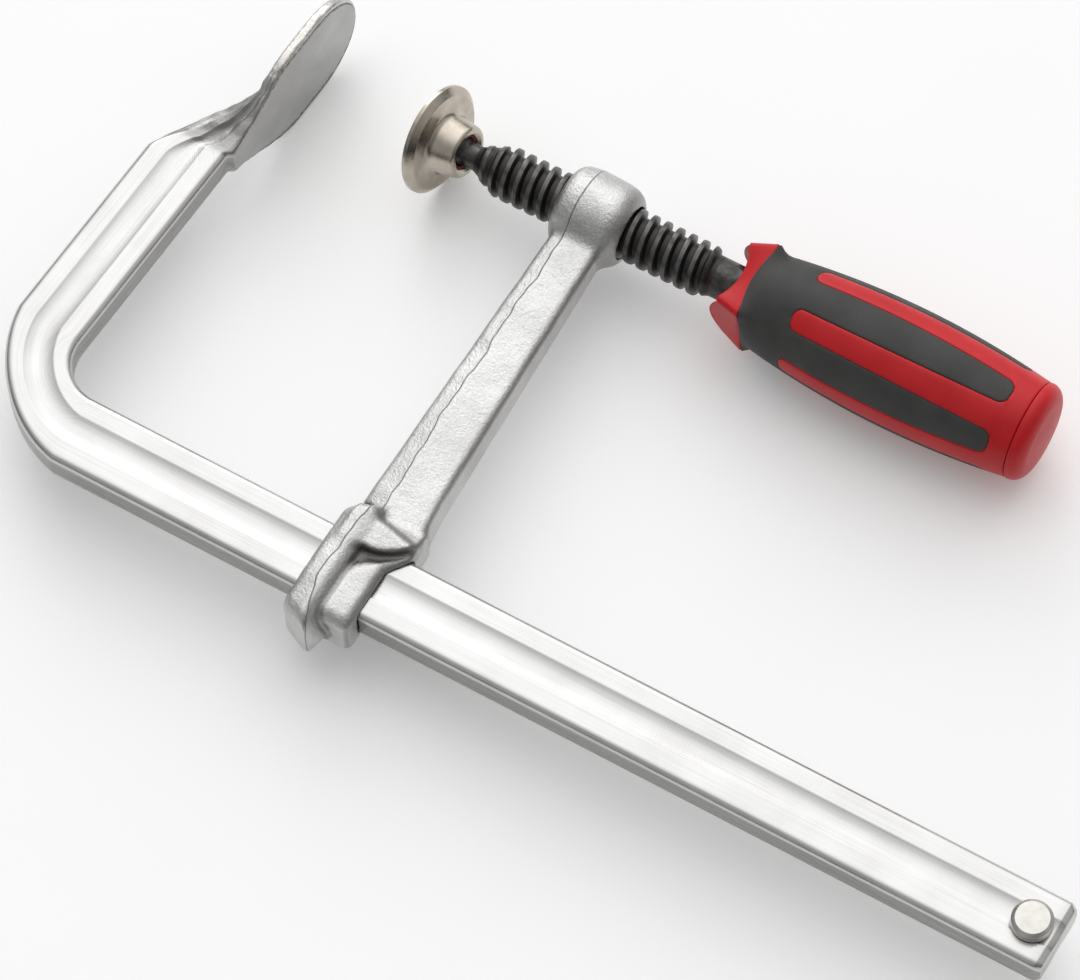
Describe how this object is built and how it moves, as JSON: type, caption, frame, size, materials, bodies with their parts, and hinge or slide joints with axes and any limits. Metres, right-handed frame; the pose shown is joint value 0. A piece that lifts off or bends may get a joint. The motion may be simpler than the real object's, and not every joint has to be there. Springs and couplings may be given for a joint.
{
  "type": "glue clamp",
  "caption": "All-steel F-style screw clamp: forged rail with a fixed jaw, sliding arm, trapezoidal screw with a ball-mounted swivel pad and a two-colour grip handle.",
  "frame": {"origin": "middle of the fixed jaw's clamping face, on the screw's axis", "axes": "+X along the screw and rail towards the handle, +Y from the rail to the jaws, +Z across the clamp, which lies on its side"},
  "size_m": [0.3406, 0.1775, 0.0348],
  "materials": {
    "rail_steel": "bright rolled steel, satin",
    "rivet_steel": "bright headed steel",
    "forged_steel": "blasted forging, satin silver",
    "black_oxide": "black oxide, oiled",
    "nickel": "warm nickel plate",
    "seat_plastic": "red-brown insert",
    "red_plastic": "satin red plastic",
    "grey_rubber": "soft dark grey grip"
  },
  "bodies": {
    "frame": {"rail_frame": "rail_steel", "stop_rivet": "rivet_steel"},
    "arm": {"sliding_arm": "forged_steel"},
    "seat": {"ball_seat": "seat_plastic"},
    "screw": {"spindle": "black_oxide", "handle_core": "red_plastic", "handle_grip": "grey_rubber", "handle_end_cap": "red_plastic"},
    "ring": {"seat_ring": "seat_plastic"},
    "pad": {"swivel_pad": "nickel"}
  },
  "joints": [
    {"name": "arm_slide", "type": "slide", "parent": "frame", "child": "arm", "axis": [1, 0, 0], "range_m": [-0.005, 0.188]},
    {"name": "screw_travel", "type": "slide", "parent": "arm", "child": "seat", "axis": [1, 0, 0], "range_m": [-0.0281, 0.0251]},
    {"name": "spindle_turn", "type": "hinge", "parent": "seat", "child": "screw", "pos_m": [0, 0, 0], "axis": [1, 0, 0], "range_deg": [-2520, 2250]},
    {"name": "pad_tilt", "type": "hinge", "parent": "seat", "child": "ring", "pos_m": [0.0494, 0, 0], "axis": [0, -0.9397, -0.342], "range_deg": [-22.6, 0]},
    {"name": "pad_swing", "type": "hinge", "parent": "ring", "child": "pad", "pos_m": [0.0494, 0, 0], "axis": [-0.1959, -0.3354, 0.9215], "range_deg": [-8, 8]}
  ],
  "couplings": [
    {"joint": "screw_travel", "follows": "spindle_turn", "m_per_rad": 0.00063662}
  ]
}
